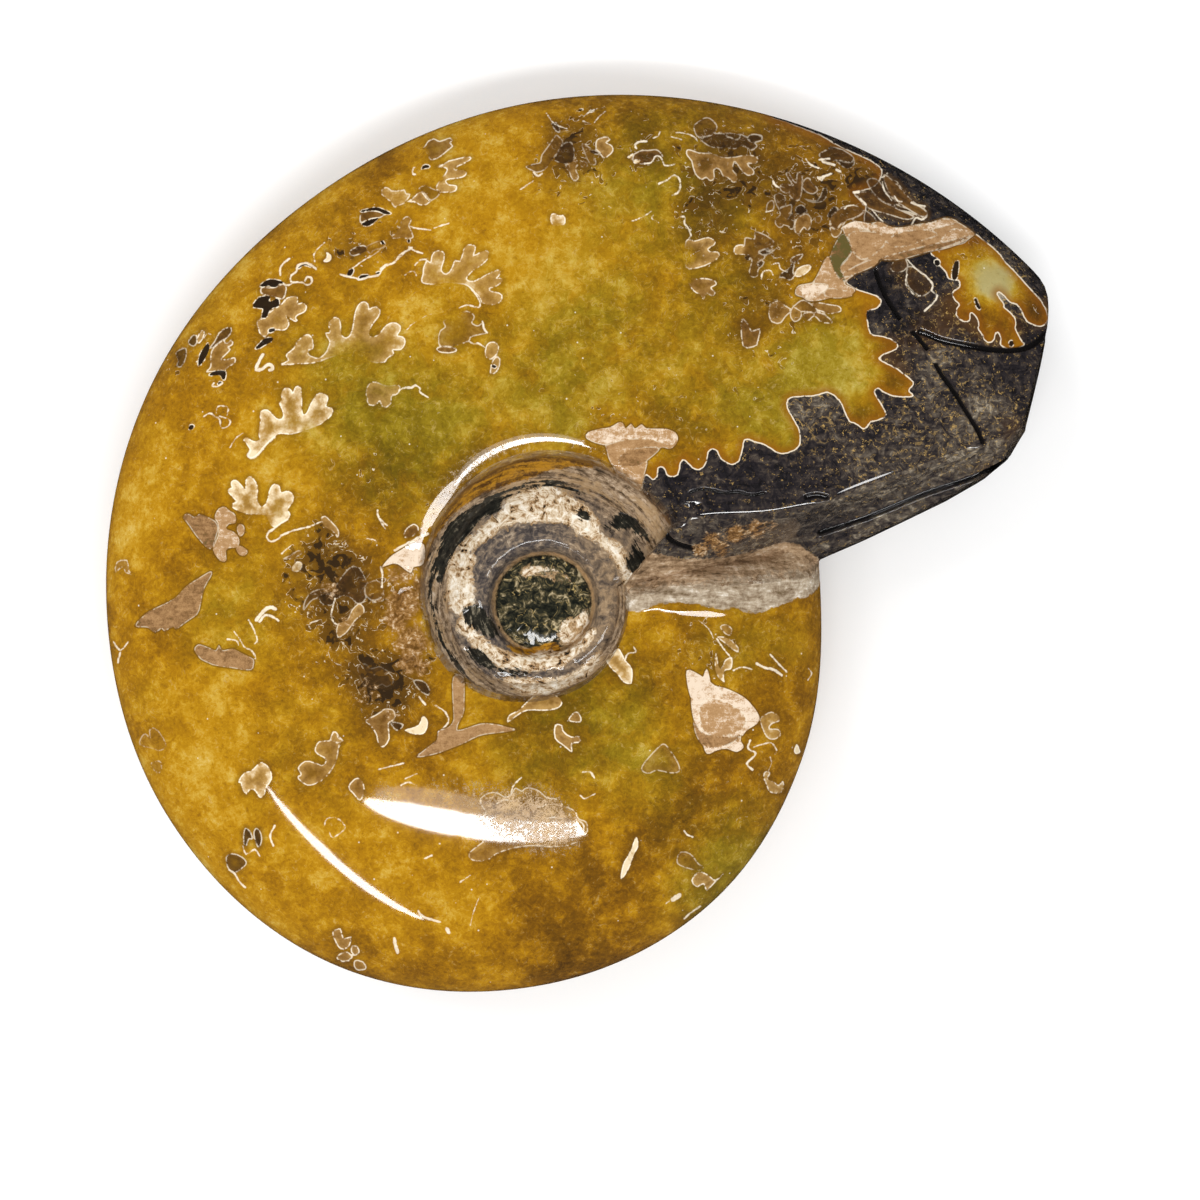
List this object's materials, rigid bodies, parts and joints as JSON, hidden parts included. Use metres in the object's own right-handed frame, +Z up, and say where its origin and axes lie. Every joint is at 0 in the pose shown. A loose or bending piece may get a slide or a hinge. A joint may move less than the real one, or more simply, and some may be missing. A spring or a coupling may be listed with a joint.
{
  "type": "fossil ammonite",
  "caption": "Polished fossil ammonite lying on its flank: flat spiral shell with a dished umbilicus, a bevelled broken mouth and a small flat to rest on.",
  "frame": {"origin": "under the middle of the outline, on the surface that the fossil rests on", "axes": "+X along the longest extent, from the outer curve towards the broken mouth; +Z up through the thickness, out of the flank that shows; +Y completes the frame"},
  "size_m": [0.0846, 0.0808, 0.02],
  "materials": {
    "amber_calcite": "polished"
  },
  "bodies": {
    "root": {"ammonite": "amber_calcite"}
  },
  "joints": []
}
